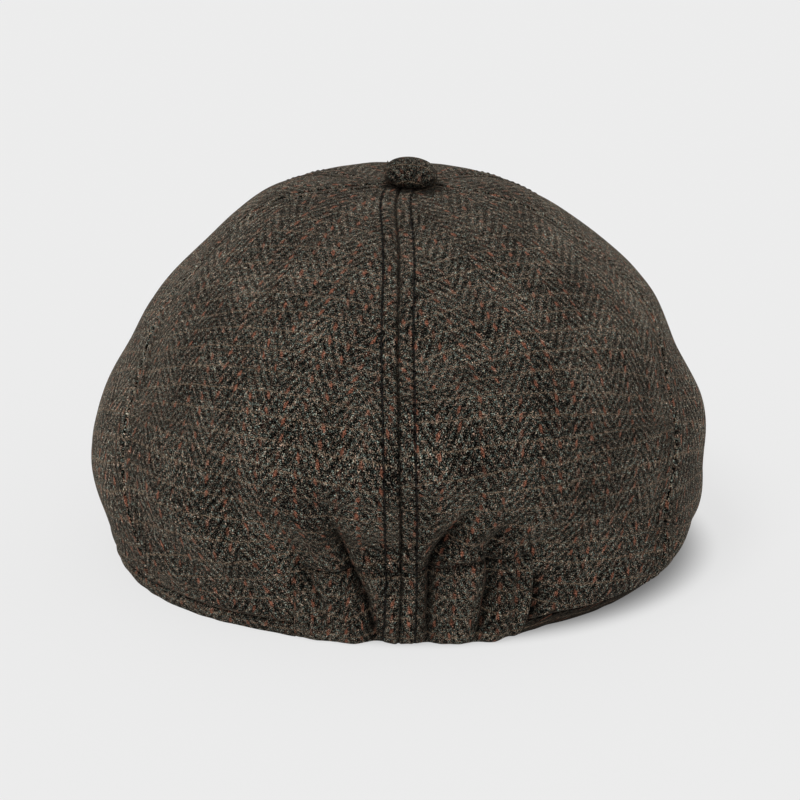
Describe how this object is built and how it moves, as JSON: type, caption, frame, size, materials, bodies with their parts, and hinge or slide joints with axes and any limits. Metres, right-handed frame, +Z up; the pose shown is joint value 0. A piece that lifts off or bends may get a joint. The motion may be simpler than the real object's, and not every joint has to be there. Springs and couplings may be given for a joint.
{
  "type": "six-panel flat cap",
  "caption": "Soft rounded cap in panels of wool herringbone, with a short stiff peak, a covered top button and a gathered elastic casing at the back.",
  "frame": {"origin": "middle of the overall bounding box in plan, on the surface the hem rests on", "axes": "+Z up, the peak points along -Y and the gathered back along +Y, +X is the wearer's left"},
  "size_m": [0.2176, 0.2444, 0.1382],
  "materials": {
    "crown_cloth": "brushed wool herringbone in charcoal and taupe with rust flecks",
    "casing_cloth": "the same wool herringbone, gathered",
    "hem_cloth": "the same wool herringbone, turned under as a narrow strip",
    "peak_cloth": "the same wool herringbone over a stiff board",
    "button_cloth": "the same wool herringbone over a button mould"
  },
  "bodies": {
    "root": {"panel_back_left": "crown_cloth", "panel_back_right": "crown_cloth", "panel_side_left": "crown_cloth", "panel_side_right": "crown_cloth", "panel_front_left": "crown_cloth", "panel_front_right": "crown_cloth", "back_casing": "casing_cloth", "rim_band": "hem_cloth", "peak": "peak_cloth", "top_button": "button_cloth"}
  },
  "joints": []
}
